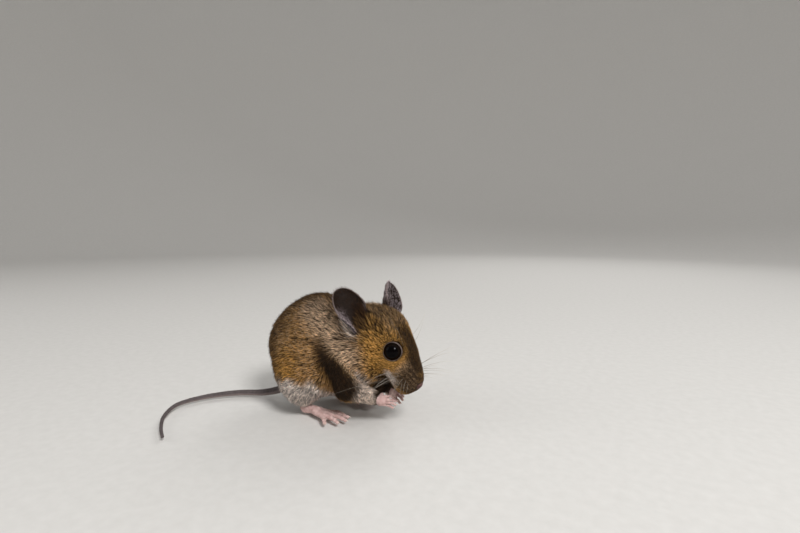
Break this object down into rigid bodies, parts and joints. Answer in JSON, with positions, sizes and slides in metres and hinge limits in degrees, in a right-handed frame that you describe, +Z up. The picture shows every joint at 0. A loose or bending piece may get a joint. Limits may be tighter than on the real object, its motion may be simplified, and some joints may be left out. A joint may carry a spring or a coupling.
{
  "type": "wood mouse (long-tailed field mouse) model",
  "caption": "Life-size still model of a long-tailed field mouse, crouched on its hind feet with its forefeet held up to its mouth and its tail laid along the ground.",
  "frame": {"origin": "on the ground, under the middle of the whole animal's box", "axes": "+X the way the mouse faces, +Y its left, +Z up"},
  "size_m": [0.0802, 0.0604, 0.0416],
  "materials": {
    "brown_fur": "short dense golden-brown fur, darker along the back",
    "grey_fur": "pale grey-white fur on the haunch and belly",
    "ear_skin": "thin dark ear skin with sparse fine hair",
    "pink_skin": "bare pink skin on the feet",
    "tail_skin": "finely ringed grey tail skin with short hairs",
    "nose_skin": "moist dark pink nose",
    "eye": "wet glossy black",
    "claw": "translucent pale horn",
    "whisker": "fine pale whisker hair"
  },
  "bodies": {
    "root": {"head": "brown_fur", "neck": "brown_fur", "trunk": "brown_fur", "nose": "nose_skin", "foreleg_right": "brown_fur", "hindleg_right": "grey_fur", "ear_right": "ear_skin", "eye_right": "eye", "forefoot_right": "pink_skin", "hindfoot_right": "pink_skin", "foreleg_left": "brown_fur", "hindleg_left": "grey_fur", "ear_left": "ear_skin", "eye_left": "eye", "forefoot_left": "pink_skin", "hindfoot_left": "pink_skin", "tail_base": "tail_skin", "tail_middle": "tail_skin", "tail_tip": "tail_skin"}
  },
  "joints": []
}
